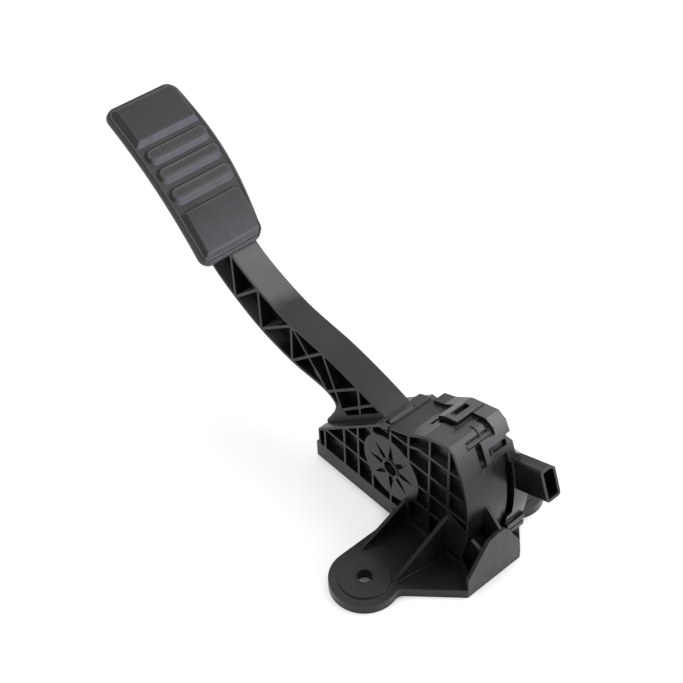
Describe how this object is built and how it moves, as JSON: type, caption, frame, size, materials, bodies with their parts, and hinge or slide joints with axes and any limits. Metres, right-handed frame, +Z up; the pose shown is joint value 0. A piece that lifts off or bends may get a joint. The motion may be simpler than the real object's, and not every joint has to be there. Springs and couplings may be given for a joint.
{
  "type": "accelerator pedal",
  "caption": "Floor-mounted electronic accelerator pedal: a ribbed arm with a rubber pad in a ribbed housing with bolt ears, a sensor cover and a wiring socket.",
  "frame": {"origin": "on the mounting face, straight below the pivot axis, on the arm's mid-plane", "axes": "+X from the pad to the wiring socket, +Y along the pivot axis to the sensor side, +Z up from the mounting face"},
  "size_m": [0.2844, 0.1334, 0.1617],
  "materials": {
    "housing_nylon": "satin",
    "arm_nylon": "satin",
    "cover_nylon": "satin",
    "pad_rubber": "matte",
    "stop_rubber": "matte",
    "seal_rubber": "matte",
    "pin_steel": "ground",
    "spring_steel": "drawn wire",
    "sleeve_steel": "plain",
    "bush_polymer": "satin",
    "lever_polymer": "satin",
    "seat_polymer": "satin",
    "holder_polymer": "satin",
    "magnet": "sintered",
    "board": "satin",
    "chip": "matte",
    "board_part": "matte",
    "terminal": "tinned"
  },
  "bodies": {
    "housing": {"housing": "housing_nylon", "pivot_pin": "pin_steel", "friction_lever": "lever_polymer", "idle_stop": "stop_rubber", "full_travel_stop": "stop_rubber", "outer_spring": "spring_steel", "inner_spring": "spring_steel", "sensor_board": "board", "hall_chips": "chip", "board_parts": "board_part", "terminal_pins": "terminal", "sensor_cover": "cover_nylon", "cover_seal": "seal_rubber", "bolt_sleeve_near": "sleeve_steel", "bolt_sleeve_far": "sleeve_steel"},
    "pedal": {"pedal_arm": "arm_nylon", "pedal_pad": "pad_rubber", "bush_near": "bush_polymer", "bush_far": "bush_polymer", "magnet_holder": "holder_polymer", "ring_magnets": "magnet"},
    "seat": {"spring_seat": "seat_polymer"}
  },
  "joints": [
    {"name": "pedal_pivot", "type": "hinge", "parent": "housing", "child": "pedal", "pos_m": [0, 0, 0.037], "axis": [0, -1, 0], "range_deg": [0, 16], "stiffness_Nm_per_rad": 14, "springref_deg": -13.46, "deforming": ["outer_spring", "inner_spring"]},
    {"name": "seat_rock", "type": "hinge", "parent": "pedal", "child": "seat", "pos_m": [0.028, 0, 0.039], "axis": [0, -1, 0], "range_deg": [-16, 0]}
  ],
  "couplings": [
    {"joint": "seat_rock", "follows": "pedal_pivot", "ratio": -1}
  ]
}
